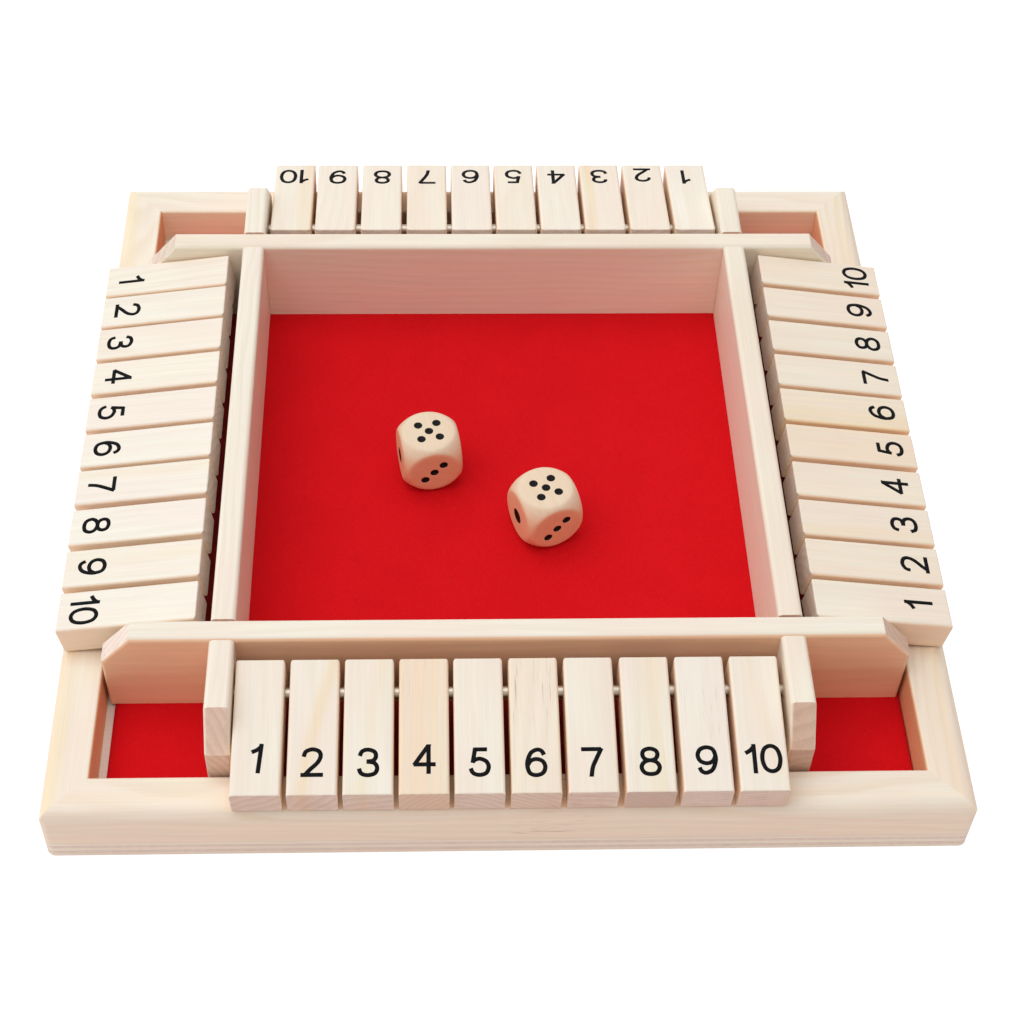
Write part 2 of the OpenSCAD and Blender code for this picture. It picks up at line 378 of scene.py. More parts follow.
def new_material(name):
    """An empty material, and its tree."""
    made = bpy.data.materials.new(name)
    made.use_nodes = True
    made.node_tree.nodes.clear()
    return made, made.node_tree


def mapped(tree, vector, **change):
    """A vector moved, scaled or turned."""
    return node(tree, "ShaderNodeMapping", {"Vector": vector, **change}).outputs[0]


def turned(tree, middle, turns):
    """Place in millimetres and facing, seen from a middle in metres, and turned."""
    source = node(tree, "ShaderNodeTexCoord").outputs
    spot = mapped(tree, source["Object"], Location=[-value for value in middle])
    spot = mapped(tree, spot, Scale=(1 / MM, 1 / MM, 1 / MM))
    facing = source["Normal"]
    for turn in turns:
        spot, facing = mapped(tree, spot, Rotation=turn), mapped(tree, facing, Rotation=turn)
    return spot, facing


def place_in_mm(tree):
    """The place in the object's own coordinates, in millimetres."""
    return turned(tree, ORIGIN, ())[0]


def bumped(tree, height, strength, depth):
    """A relief of the height."""
    sockets = {"Height": height, "Strength": strength, "Distance": depth}
    return node(tree, "ShaderNodeBump", sockets).outputs[0]


def surfaced(tree, sockets):
    """Ends a material in a Principled surface with these sockets."""
    surface = node(tree, "ShaderNodeBsdfPrincipled", sockets)
    node(tree, "ShaderNodeOutputMaterial", {"Surface": surface.outputs[0]})


def wood_figure(tree, spot, facing, look, bump=0.10):
    """The pine group with a board's look, and the relief of its grain."""
    grain = node(tree, "ShaderNodeGroup", {"Place": spot, "Facing": facing, **look}, node_tree=pine)
    return grain, bumped(tree, grain.outputs["Height"], bump, GRAIN_DEPTH)


def varnished(tree, color, roughness, relief, specular=WOOD_SPECULAR):
    """A satin surface over the colour."""
    surfaced(tree, {
        "Base Color": color,
        "Roughness": roughness,
        "Normal": relief,
        "IOR": WOOD_IOR,
        "Specular IOR Level": specular,
    })


print("surface helpers are ready")

# %% Pine boards
ROW_HALF = 68.0
ROW_FADE = 8.0


def paint(node_name, material):
    """Gives every slot of a CAD node one material."""
    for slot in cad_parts[node_name].material_slots:
        slot.material = material


def dress_board(node_name, turns, look, face_light_and_shade=(), shade_under_tiles=None):
    """Finishes one board of pine. A face tint paints light or shade on the faces that look one way."""
    made, tree = new_material(node_name.replace("_", "_wood_", 1))
    middle = [(low + high) / 2 for low, high in zip(*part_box(node_name))]
    spot, facing = turned(tree, middle, turns)
    grain, relief = wood_figure(tree, spot, facing, look)
    color = grain.outputs["Color"]
    # painted shade on the rail tops under the tiles
    if shade_under_tiles:
        from_middle = calc(tree, "ABSOLUTE", axis_value(tree, spot, "Y"))
        in_row = step(tree, from_middle, ROW_HALF, ROW_HALF - ROW_FADE)
        on_top = step(tree, axis_value(tree, facing, "Z"), 0.80, 0.97)
        color = stained(tree, color, shade_under_tiles, times(tree, in_row, on_top))
    # painted light or painted shade on the faces that look one way
    for way, face_light_or_shade in face_light_and_shade:
        outward = node(tree, "ShaderNodeTexCoord").outputs["Normal"]
        color = stained(tree, color, face_light_or_shade, step(tree, dot(tree, outward, way), 0.50, 0.72))
    varnished(tree, color, grain.outputs["Roughness"], relief)
    paint(node_name, made)


print("each board gets a few nodes round the shared group")

# %% Frame rails and divider walls
ALONG_FRONT = (0.0, 0.0, PLAYER_TURN)


def sawn(board, warmth, rings):
    """A board, how warm it is, and how clear its rings are."""
    return {"Board": board, "Warmth": warmth, "Rings": rings}


def streaked(strength, place, lean=0.0, width=STREAK_WIDTH):
    """A honey-coloured streak, and where it lies beside the board's middle line."""
    return {"Streak": strength, "Streak place": place, "Streak lean": lean, "Streak width": width}


def dashed(strength, place):
    """Brown dashes, and where they lie along the board."""
    return {"Dashes": strength, "Dash place": place}


LOOKS = {
    "frame_front": {**sawn(3.2, 0.30, 0.9), **streaked(0.2, 0.0), **dashed(1.8, 9.0)},
    "frame_right": {**sawn(8.1, 0.42, 1.0), **streaked(0.45, 1.0, width=2.0)},
    "frame_back": sawn(5.3, 0.30, 0.7),
    "frame_left": {**sawn(6.4, 0.30, 0.8), **streaked(0.85, 3.2, width=3.0)},
    "wall_front": sawn(11.6, 0.15, 0.5),
    "wall_right": sawn(12.3, 0.25, 0.7),
    "wall_back": sawn(13.9, 0.34, 0.6),
    "wall_left": sawn(14.2, 0.15, 0.6),
}
# painted shade: a deeper, warmer colour for faces that lie deep in the tray
PAINTED_SHADE_FACE = rgb(0.96, 0.66, 0.46)
# painted shade for the rail tops under the tiles
PAINTED_SHADE_UNDER_TILES = rgb(0.98, 0.84, 0.72)
# painted shade for board ends that the light reaches less
PAINTED_SHADE_END = rgb(0.95, 0.82, 0.74)
# painted light and painted shade for the faces of a board that look one way
FACE_LIGHT_AND_SHADE = {
    "wall_front": [
        (TO_FRONT, rgb(1.04, 0.75, 0.57)),
        (TO_LEFT, rgb(1.15, 1.17, 1.20)),
        (TO_RIGHT, PAINTED_SHADE_END),
    ],
    "wall_back": [(TO_FRONT, rgb(1.07, 1.16, 1.16))],
    "wall_left": [(TO_FRONT, rgb(1.04, 0.93, 0.87))],
    "wall_right": [(TO_FRONT, PAINTED_SHADE_END)],
    "frame_left": [(TO_RIGHT, rgb(0.90, 0.56, 0.36))],
    "frame_right": [(TO_LEFT, PAINTED_SHADE_FACE)],
    "frame_back": [(TO_FRONT, rgb(1.08, 1.10, 0.98))],
}

for index, side in enumerate(SIDES):
    turns = ((0.0, 0.0, -PLAYER_TURN * index), ALONG_FRONT)
    for part, shade_under_tiles in (("frame", PAINTED_SHADE_UNDER_TILES), ("wall", None)):
        node_name = f"{part}_{side}"
        dress_board(node_name, turns, LOOKS[node_name], FACE_LIGHT_AND_SHADE.get(node_name, ()), shade_under_tiles)
print("painted 4 rails and 4 walls")

# %% [markdown]
# Most tiles are plain and pale, with a chance touch of warmth. The ones that stand out
# in the photograph are described one by one. The sides of all tiles get a warm painted
# shade, which colours the thin gaps between them.

# %% Looks of the tiles
FIRST_TILE_BOARD = 40.0
ROW_BOARDS = 10
TILE_LOOKS = {
    ("front", 2): streaked(0.80, 0.9, lean=0.18),
    ("front", 3): streaked(0.50, 1.0, lean=0.12),
    ("front", 4): {"Warmth": 0.78, **dashed(0.30, 14.0)},
    ("front", 6): {"Warmth": 0.40, **dashed(1.0, 9.0)},
    ("front", 8): {"Warmth": 0.15, "Dark ends": 0.7, **streaked(0.55, 1.3, width=4.0)},
    ("front", 9): dashed(0.45, 2.0),
    ("front", 10): streaked(0.30, 1.5, lean=-0.20),
    ("right", 3): streaked(0.45, -4.0),
    ("right", 5): {"Warmth": 0.60},
    ("right", 6): {"Warmth": 0.60, **streaked(0.90, -4.5, width=4.5)},
    ("back", 3): streaked(0.90, 3.8, width=2.0),
    ("back", 5): {"Warmth": 0.30},
    ("back", 7): {"Warmth": 0.35},
    ("back", 10): streaked(0.65, -3.8),
    ("left", 7): streaked(0.40, -3.8),
    ("left", 9): streaked(0.30, -2.6),
}
# painted warm shade on the sides of the tiles, seen in the gaps between them
TILE_SIDE_SHADE = rgb(1.08, 0.95, 0.85)
# the warmth of each row's wood; the right row's is set higher as painted warm light from that side
ROW_TONE_AND_LIGHT = {"front": 0.10, "right": 0.34, "back": 0.12, "left": 0.05}

chance = random.Random(12)
level = (-TILE_TILT, 0.0, 0.0)
for index, side in enumerate(SIDES):
    turns = ((0.0, 0.0, -PLAYER_TURN * index), level)
    row_ways = (TO_RIGHT, TO_LEFT) if side in ("front", "back") else (TO_FRONT, TO_BACK)
    face_light_and_shade = [(way, TILE_SIDE_SHADE) for way in row_ways]
    for number in range(1, TILE_COUNT + 1):
        board_number = FIRST_TILE_BOARD + ROW_BOARDS * index + number + chance.random()
        warmth = ROW_TONE_AND_LIGHT[side] + chance.uniform(-0.08, 0.12)
        look = sawn(board_number, warmth, chance.uniform(0.15, 0.55))
        look.update(dashed(chance.choice((0.0, 0.0, 0.15)), chance.uniform(-8.0, 12.0)))
        look.update(TILE_LOOKS.get((side, number), {}))
        dress_board(f"tile_{side}_{number}", turns, look, face_light_and_shade)
print("painted", len(SIDES) * TILE_COUNT, "tiles")

# %% [markdown]
# ## The base board
# Plywood is thin sheets of wood, glued with the grain of each one across the next. On
# the edge of the board that makes stripes: a sheet cut along its grain is pale, and one
# cut across it is darker. The material finds the sheet from the height, and asks the
# pine group for wood whose grain runs the right way. Thin brown lines are the glue. The
# one on top is the joint with the frame.

# %% Plywood
PLY_COUNT = 5
GLUE_BROWN = rgb(0.740, 0.560, 0.420)
PLY_DARK = rgb(0.960, 0.945, 0.955)
PLY_THICKNESS = BASE_THICKNESS / MM / PLY_COUNT
FIRST_PLY_BOARD = 71.0
CROSS_SHARE = 0.5

plywood, tree = new_material("plywood")
spot_x, facing_x = turned(tree, ORIGIN, (ALONG_FRONT,))
spot_y, facing_y = turned(tree, ORIGIN, ())
sheet_height = axis_value(tree, spot_y, "Z")
sheet_count = calc(tree, "DIVIDE", sheet_height, PLY_THICKNESS)
sheet = calc(tree, "MINIMUM", calc(tree, "FLOOR", sheet_count), PLY_COUNT - 1.0)
sheet = calc(tree, "MAXIMUM", sheet, 0.0)
crosswise = calc(tree, "MODULO", sheet, 2.0)
look = sawn(calc(tree, "ADD", sheet, FIRST_PLY_BOARD), 0.0, 0.3)
long_grain, long_relief = wood_figure(tree, spot_x, facing_x, look)
cross_grain = wood_figure(tree, spot_y, facing_y, look)[0]
cross_color = stained(tree, cross_grain.outputs["Color"], PLY_DARK)
sheets = tint(tree, times(tree, crosswise, CROSS_SHARE), long_grain.outputs["Color"], cross_color)
on_edge = step(tree, calc(tree, "ABSOLUTE", axis_value(tree, facing_y, "Z")), 0.7, 0.3)
in_sheet = calc(tree, "ABSOLUTE", calc(tree, "SUBTRACT", calc(tree, "FRACT", sheet_count), 0.5))
glue = times(tree, step(tree, in_sheet, 0.40, 0.5, 0.0, 0.12), on_edge)
joint = times(tree, step(tree, sheet_height, 5.05, 5.55, 0.0, 0.62), on_edge)
edge_color = tint(tree, calc(tree, "MAXIMUM", glue, joint), sheets, GLUE_BROWN)
varnished(tree, edge_color, long_grain.outputs["Roughness"], long_relief)
paint("base_board", plywood)
print("plywood of", PLY_COUNT, "sheets,", round(PLY_THICKNESS, 2), "mm each")

# %% [markdown]
# ## The rods
# The rods are drawn steel wire. Drawing leaves fine lines along the wire, which spread
# its highlights a little across it. Only slivers of them show between the tiles.

# %% Rod steel
STEEL = rgb(0.500, 0.460, 0.390)
DRAWN_DEPTH = 0.05 * MM

rod_steel, tree = new_material("drawn_steel")
drawn = noise(tree, place_in_mm(tree), (5.0, 5.0, 12.0), detail=2.0)
surfaced(tree, {
    "Base Color": STEEL,
    "Metallic": 1.0,
    "Roughness": step(tree, drawn, 0.3, 0.7, 0.28, 0.42),
    "Normal": bumped(tree, drawn, 0.05, DRAWN_DEPTH),
})
for side in SIDES:
    paint(f"rod_{side}", rod_steel)
print("painted 4 rods")

# %% [markdown]
# ## The dice
# A wooden die is a cube that was tumbled into a ball and sanded, so its flats are round
# and their rims are soft. The CAD dice are a cube cut by a ball, with sharp rims. Here
# each die is shaped again: a grid is wrapped round a cube, and each point is sent out
# from the middle to a soft minimum of the cube and the ball. Then the pips are pressed
# in. A bevel or a remesh would soften the pips as well.
# Each point keeps its distance from the nearest pip as an attribute, and the material
# paints black where that distance is below zero. So the paint's edge is finer than the
# grid.

# %% Shape of a die
DICE = {"die_1": ((-18.9, 4.5), 10.5, 131.0), "die_2": ((11.7, -15.6), 21.9, 138.0)}
DIE_CENTRE_HEIGHT = 14.85
DIE_HALF = DIE_SIDE / MM / 2
DIE_BALL_RADIUS = 10.56
DIE_RIM_SOFTNESS = 0.23
DIE_GRID = 90
PIP_DIAMETER = 2.3
ONE_PIP_DIAMETER = 4.2
PIP_DEPTH = 0.5
PIP_STEP = 2.5
NEAR_FACE = 0.9
CORNER_PIPS = [(-1, -1), (1, 1), (-1, 1), (1, -1)]
PIPS = {
    1: [(0, 0)],
    2: CORNER_PIPS[:2],
    3: CORNER_PIPS[:2] + [(0, 0)],
    4: CORNER_PIPS,
    5: CORNER_PIPS + [(0, 0)],
    6: CORNER_PIPS + [(-1, 0), (1, 0)],
}
FACE_TURNS = {5: ("X", 0), 3: ("X", 90), 1: ("Y", -90), 6: ("Y", 90), 4: ("X", -90), 2: ("X", 180)}


def die_pips():
    """Each pip as its face's direction, its middle on the face, and its radius."""
    pips = []
    for number, (axis, degrees) in FACE_TURNS.items():
        turn = Matrix.Rotation(math.radians(degrees), 3, axis)
        outward = turn @ Vector((0, 0, 1))
        diameter = ONE_PIP_DIAMETER if number == 1 else PIP_DIAMETER
        for x, y in PIPS[number]:
            middle = turn @ Vector((x * PIP_STEP, y * PIP_STEP, DIE_HALF))
            pips.append((outward, middle, diameter / 2))
    return pips


def die_point(direction, pips):
    """Where the surface is along a direction, and how far that is from a pip's edge."""
    direction = direction.normalized()
    to_cube = DIE_HALF / max(abs(value) for value in direction)
    gap = (to_cube - DIE_BALL_RADIUS) / DIE_RIM_SOFTNESS
    softened = DIE_RIM_SOFTNESS * math.log1p(math.exp(-abs(gap)))
    point = direction * (min(to_cube, DIE_BALL_RADIUS) - softened)
    nearest = DIE_HALF
    for outward, middle, radius in pips:
        if point.dot(outward) < DIE_HALF * NEAR_FACE:
            continue
        beside = point - middle
        beside -= outward * beside.dot(outward)
        nearest = min(nearest, beside.length - radius)
        if beside.length < radius:
            ball = (radius ** 2 + PIP_DEPTH ** 2) / (2 * PIP_DEPTH)
            height = DIE_HALF + ball - PIP_DEPTH - math.sqrt(ball ** 2 - beside.length ** 2)
            point += outward * min(0.0, height - point.dot(outward))
    return point, nearest


def die_mesh():
    """A closed die round the origin, in millimetres, with its pip distances."""
    places = {}
    faces = []
    for axis, end, i, j in product(range(3), (0, DIE_GRID), range(DIE_GRID), range(DIE_GRID)):
        ring = []
        for a, b in ((i, j), (i + 1, j), (i + 1, j + 1), (i, j + 1)):
            key = (2 * (end, a, b))[3 - axis:6 - axis]
            ring.append(places.setdefault(key, len(places)))
        faces.append(ring if end else ring[::-1])
    pips = die_pips()
    found = [die_point(Vector([2 * value / DIE_GRID - 1 for value in key]), pips) for key in places]
    mesh = bpy.data.meshes.new("die")
    mesh.from_pydata([point for point, distance in found], [], faces)
    distances = mesh.attributes.new("pip_distance", "FLOAT", "POINT")
    distances.data.foreach_set("value", [distance for point, distance in found])
    mesh.shade_smooth()
    return mesh


plain_die = die_mesh()
print("a die has", len(plain_die.polygons), "faces")

# %% [markdown]
# The dice are beech, which is plainer than pine: the pine group is used with weak rings
# and no ends. Their sides get painted red light, for the red that the felt throws on them.

# %% Beech and pip paint
PAINT_BLACK = rgb(0.006, 0.005, 0.005)
BEECH = rgb(0.930, 0.830, 0.730)
# painted red light, for the felt's red on the sides
DIE_SIDE_FELT_LIGHT = rgb(1.05, 0.77, 0.65)
DIE_SPECULAR = 0.12
PIP_EDGE = 0.05


def die_material(name, centre, turn, board_number):
    """Beech with black in the pips, centred on one die and turned with it."""
    made, tree = new_material(f"{name}_wood")
    spot, facing = turned(tree, centre, ((0.0, 0.0, -math.radians(turn)),))
    no_end = node(tree, "ShaderNodeCombineXYZ", {"Z": 1.0}).outputs[0]
    grain, relief = wood_figure(tree, spot, no_end, sawn(board_number, 0.30, 0.25), bump=0.06)
    distance = node(tree, "ShaderNodeAttribute", attribute_name="pip_distance").outputs["Fac"]
    in_pip = step(tree, distance, PIP_EDGE, -PIP_EDGE)
    wood_color = stained(tree, grain.outputs["Color"], BEECH)
    on_side = step(tree, axis_value(tree, facing, "Z"), 0.75, 0.15)
    # painted red light from the felt on the die's sides
    wood_color = stained(tree, wood_color, DIE_SIDE_FELT_LIGHT, on_side)
    painted = tint(tree, in_pip, wood_color, PAINT_BLACK)
    varnished(tree, painted, grain.outputs["Roughness"], relief, DIE_SPECULAR)
    return made


def link_piece(name, mesh, material):
    """Puts a mesh in the scene with one material."""
    if not mesh.materials:
        mesh.materials.append(material)
    return in_scene(name, mesh)


for name, (middle, turn, board_number) in DICE.items():
    centre = Vector((middle[0], middle[1], DIE_CENTRE_HEIGHT)) * MM
    own_die = plain_die.copy()
    turned_die = Matrix.Rotation(math.radians(turn), 4, "Z")
    own_die.transform(Matrix.Translation(centre) @ turned_die @ Matrix.Scale(MM, 4))
    piece = link_piece(f"tumbled_{name}", own_die, die_material(name, centre, turn, board_number))
    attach(piece, name)
    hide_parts(name)
print("shaped", len(DICE), "dice")

# %% [markdown]
# ## The felt
# The felt is one sheet of red wool felt, laid flat and glued to the base board. Felt has
# no weave: it is fibres matted in all directions, so it looks mottled, and a soft nap
# stands up from it. The sheet is a mesh of its own, because the CAD solid is a plain
# slab: its top dips and swells by a few hundredths of a millimetre, and its cut edge is
# rounded. The nap is made after it, with Geometry Nodes.

# %% Felt material
FELT_RED = rgb(0.665, 0.0040, 0.0080)
FELT_DEEP = rgb(0.560, 0.0025, 0.0050)
FELT_LIGHT = rgb(0.770, 0.0210, 0.0270)
# painted shade for the felt under the rows of tiles
FELT_SHADE_UNDER_ROWS = rgb(0.55, 4.5, 2.8)
FELT_DEPTH = 0.15 * MM
WALL_MIDDLE = 68.45

felt_finish, tree = new_material("red_felt")
felt_mm = place_in_mm(tree)
clouds = noise(tree, felt_mm, (0.09, 0.09, 0.09), detail=3.0)
mat = noise(tree, felt_mm, (0.9, 0.9, 0.9), detail=4.0, roughness=0.65)
strands = noise(tree, felt_mm, (4.5, 4.5, 4.5), detail=2.0)
felt_color = tint(tree, step(tree, clouds, 0.35, 0.65, 0.0, 0.25), FELT_RED, FELT_DEEP)
felt_color = tint(tree, step(tree, mat, 0.35, 0.65, 0.30, 0.0), felt_color, FELT_DEEP)
felt_color = tint(tree, step(tree, strands, 0.58, 0.75, 0.0, 0.5), felt_color, FELT_LIGHT)

# the felt under the rows of tiles is painted darker and browner, as painted shade: there just one of x and y
# is past a wall
felt_x = calc(tree, "ABSOLUTE", axis_value(tree, felt_mm, "X"))
felt_y = calc(tree, "ABSOLUTE", axis_value(tree, felt_mm, "Y"))
before, after = WALL_MIDDLE - 0.5, WALL_MIDDLE + 0.5
outside = step(tree, calc(tree, "MAXIMUM", felt_x, felt_y), before, after)
inside = step(tree, calc(tree, "MINIMUM", felt_x, felt_y), after, before)
felt_color = stained(tree, felt_color, FELT_SHADE_UNDER_ROWS, times(tree, outside, inside))
felt_height = calc(tree, "MULTIPLY_ADD", mat, 0.6, strands)
surfaced(tree, {
    "Base Color": felt_color,
    "Roughness": 0.95,
    "Normal": bumped(tree, felt_height, 0.5, FELT_DEPTH),
    "Specular IOR Level": 0.10,
    "Sheen Weight": 0.06,
    "Sheen Roughness": 0.5,
    "Sheen Tint": rgb(1.0, 0.35, 0.35),
})
print("red_felt has", len(tree.nodes), "nodes")

# %% Felt sheet
FELT_STEP = 1.4 * MM
FELT_DIP = 0.05 * MM
FELT_EDGE_DROP = (0.34 * MM, 0.09 * MM)
FELT_WAVES = 260.0


def felt_mesh(low, high):
    """A closed slab with a soft top: the top grid, the cut sides and a flat underside."""
    columns = round((high[0] - low[0]) / FELT_STEP)
    rows = round((high[1] - low[1]) / FELT_STEP)
    points = []
    for row, column in product(range(rows + 1), range(columns + 1)):
        x = low[0] + (high[0] - low[0]) * column / columns
        y = low[1] + (high[1] - low[1]) * row / rows
        inset = min(row, column, rows - row, columns - column)
        dip = FELT_DIP * (0.5 + 0.5 * solid_noise.noise(Vector((x, y, 0.0)) * FELT_WAVES))
        drop = FELT_EDGE_DROP[inset] if inset < len(FELT_EDGE_DROP) else dip
        points.append((x, y, high[2] - drop))
    width = columns + 1
    faces = []
    for row, column in product(range(rows), range(columns)):
        corner = row * width + column
        faces.append((corner, corner + 1, corner + 1 + width, corner + width))
    rim = list(range(columns))
    rim += [row * width + columns for row in range(rows)]
    rim += [rows * width + column for column in range(columns, 0, -1)]
    rim += [row * width for row in range(rows, 0, -1)]
    first = len(points)
    points += [(points[i][0], points[i][1], low[2]) for i in rim]
    count = len(rim)
    for i in range(count):
        after = (i + 1) % count
        faces.append((rim[after], rim[i], first + i, first + after))
    faces.append(tuple(first + i for i in range(count - 1, -1, -1)))
    mesh = bpy.data.meshes.new("felt_sheet")
    mesh.from_pydata(points, [], faces)
    mesh.shade_smooth()
    return mesh


felt_low, felt_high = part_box("felt_lining")
felt = link_piece("felt_sheet", felt_mesh(felt_low, felt_high), felt_finish)
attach(felt, "tray")
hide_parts("felt_lining")
print("felt sheet:", len(felt.data.polygons), "faces")

# %% [markdown]
# ## The nap of the felt
# A nap is thousands of short fibres, each lying its own way. That is what Geometry Nodes
# are for: one bent fibre is scattered over the sheet, turned and sized at random with a
# fixed seed, so that every run gives the same nap. The result is kept as a plain mesh.

# %% Nap tree


def geometry_tree(name, sizes):
    """A Geometry Nodes tree with a geometry input, named sizes, and an output."""
    made = bpy.data.node_groups.new(name, "GeometryNodeTree")
    add_socket(made, "Geometry", "Geometry")
    for label, value in sizes.items():
        add_socket(made, label, "Int" if isinstance(value, int) else "Float", value)
    add_socket(made, "Geometry", "Geometry", in_out="OUTPUT")
    return made, made.nodes.new("NodeGroupInput").outputs


def swept(made, curve, profile):
    """A solid mesh from a profile that runs along a curve."""
    sockets = {"Curve": curve, "Profile Curve": profile, "Fill Caps": True}
    return node(made, "GeometryNodeCurveToMesh", sockets).outputs[0]


def end_tree(made, geometry, material):
    """Ends a tree: makes its instances real and gives them a material."""
    real = node(made, "GeometryNodeRealizeInstances", {"Geometry": geometry})
    dressed = node(made, "GeometryNodeSetMaterial", {"Geometry": real.outputs[0], "Material": material})
    node(made, "NodeGroupOutput", {"Geometry": dressed.outputs[0]})


def apply_tree(piece, made, sizes):
    """Runs a tree on a piece and returns its result as a plain mesh."""
    modifier = piece.modifiers.new("tree", "NODES")
    modifier.node_group = made
    for item in made.interface.items_tree:
        if item.in_out == "INPUT" and item.name in sizes:
            modifier[item.identifier] = sizes[item.name]
    bpy.context.view_layer.update()
    evaluated = piece.evaluated_get(bpy.context.evaluated_depsgraph_get())
    mesh = bpy.data.meshes.new_from_object(evaluated)
    piece.modifiers.remove(modifier)
    return mesh


NAP = {"Fibres per square metre": 90000.0, "Fibre length": 1.5 * MM, "Fibre radius": 0.016 * MM, "Seed": 8}
FIBRE_BOW = {"X": 0.5, "Y": 0.35, "Z": 0.10}

nap_tree, nap_in = geometry_tree("felt_nap", NAP)
upward = axis_value(nap_tree, node(nap_tree, "GeometryNodeInputNormal").outputs[0], "Z")
on_top = calc(nap_tree, "GREATER_THAN", upward, 0.9)
spread = node(nap_tree, "GeometryNodeDistributePointsOnFaces", {
    "Mesh": nap_in["Geometry"],
    "Selection": on_top,
    "Density": nap_in["Fibres per square metre"],
    "Seed": nap_in["Seed"],
})
length = nap_in["Fibre length"]
tip = node(nap_tree, "ShaderNodeCombineXYZ", {"X": length}).outputs[0]
bow_sides = {way: times(nap_tree, length, share) for way, share in FIBRE_BOW.items()}
bow = node(nap_tree, "ShaderNodeCombineXYZ", bow_sides).outputs[0]
fibre_line = {"Resolution": 4, "Start": ORIGIN, "Middle": bow, "End": tip}
arc = node(nap_tree, "GeometryNodeCurveQuadraticBezier", fibre_line)
fibre_round = {"Resolution": 3, "Radius": nap_in["Fibre radius"]}
thread = node(nap_tree, "GeometryNodeCurvePrimitiveCircle", fibre_round)
lean = node(nap_tree, "FunctionNodeRandomValue", {
    0: (-0.03, -0.03, 0.0),
    1: (0.03, 0.03, math.tau),
    "Seed": nap_in["Seed"],
}, data_type="FLOAT_VECTOR")
grow = node(nap_tree, "FunctionNodeRandomValue", {2: 0.4, 3: 1.0, "Seed": nap_in["Seed"]}, data_type="FLOAT")
scatter = node(nap_tree, "GeometryNodeInstanceOnPoints", {
    "Points": spread.outputs[0],
    "Instance": swept(nap_tree, arc.outputs[0], thread.outputs[0]),
    "Rotation": lean.outputs[0],
    "Scale": grow.outputs[1],
})
end_tree(nap_tree, scatter.outputs[0], felt_finish)
nap_mesh = apply_tree(felt, nap_tree, NAP)
nap = link_piece("felt_nap", nap_mesh, felt_finish)
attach(nap, "tray")
print("nap:", len(nap_mesh.polygons), "faces")

# %% [markdown]
# ## The printed numbers
# The tiles are numbered 1 to 10 in plain black figures of an even line width, printed
# near the tile's outer end, upright for the player on that side. A font would bring its
# own shapes, so each figure is drawn here as a draughtsman would: a few strokes through
# points, in hundredths of the figure's box.
# Geometry Nodes sweep a flat pen along the strokes, join what overlaps, and trim the
# figure to its box, which gives it square ends.

# %% Strokes of the ten figures
ROUND = True
STRAIGHT = False
BOX = 100


def mirrored(right_half):
    """A closed stroke whose left half mirrors its right half."""
    return right_half + [(BOX - x, y) for x, y in right_half[-2::-1]]


SIX = [
    (95, 79), (82, 95), (56, 100), (22, 87), (3, 56), (2, 32), (15, 8),
    (50, 0), (86, 9), (100, 32), (87, 54), (53, 63), (20, 56), (3, 38),
]
FIGURES = {
    "0": [(ROUND, mirrored([(50, 100), (86, 87), (100, 50), (86, 13), (50, 0)]))],
    "1": [(STRAIGHT, [(86, 120), (86, -20)]), (ROUND, [(92, 101), (55, 84), (0, 72)])],
    "2": [
        (ROUND, [(3, 71), (14, 91), (50, 100), (86, 92), (96, 73), (80, 48), (38, 20), (6, -4)]),
        (STRAIGHT, [(-20, 0), (120, 0)]),
    ],
    "3": [
        (ROUND, [(4, 75), (16, 93), (48, 100), (83, 92), (93, 75), (80, 58), (42, 53)]),
        (ROUND, [(42, 53), (85, 47), (100, 27), (87, 7), (48, 0), (13, 7), (0, 26)]),
    ],
    "4": [
        (STRAIGHT, [(74, -20), (74, 120)]),
        (STRAIGHT, [(80, 110), (-3, 26)]),
        (STRAIGHT, [(-5, 29), (120, 29)]),
    ],
    "5": [
        (STRAIGHT, [(20, 100), (93, 100)]),
        (STRAIGHT, [(27, 106), (12, 47)]),
        (ROUND, [(10, 50), (28, 60), (55, 63), (88, 52), (100, 31), (86, 8), (50, 0), (15, 7), (0, 26)]),
    ],
    "6": [(ROUND, SIX)],
    "7": [
        (STRAIGHT, [(-20, 100), (100, 100)]),
        (ROUND, [(102, 104), (72, 64), (48, 27), (37, -20)]),
    ],
    "8": [
        (ROUND, mirrored([(50, 100), (82, 93), (92, 77), (80, 60), (50, 54)])),
        (ROUND, mirrored([(50, 54), (85, 46), (100, 27), (85, 6), (50, 0)])),
    ],
    "9": [(ROUND, [(BOX - x, BOX - y) for x, y in SIX])],
}
FIGURE_WIDTHS = {"1": 3.4, "4": 5.4}
print("drawn figures:", " ".join(FIGURES))

# %% Smooth the round strokes
CURVE_STEPS = 7


def between(t, p, q, r, s):
    """A Catmull-Rom curve through four values, at t from the second to the third."""
    bend = 2 * p - 5 * q + 4 * r - s
    twist = 3 * q - p - 3 * r + s
    return 0.5 * (2 * q + (r - p) * t + bend * t * t + twist * t ** 3)


def smooth_line(points):
    """Points on a smooth line through the given ones, closed if its ends meet."""
    closed = points[0] == points[-1]
    if closed:
        loop = points[:-1]
        padded = [loop[-1]] + loop + [loop[0], loop[1]]
    else:
        padded = [points[0]] + points + [points[-1]]
    line = []
    for corners in zip(padded, padded[1:], padded[2:], padded[3:]):
        for i in range(CURVE_STEPS):
            line.append(tuple(between(i / CURVE_STEPS, *values) for values in zip(*corners)))
    return (line, True) if closed else (line + [points[-1]], False)


print("a round stroke has", len(smooth_line(SIX)[0]), "points")

# %% Pen tree
PEN = {"Line width": 1.02, "Pen thickness": 1.0, "Box width": 5.2, "Box height": 7.4}
TRIM_DEPTH = 4.0
INK_BLACK = rgb(0.006, 0.006, 0.007)
INK_THIN = rgb(0.015, 0.014, 0.014)

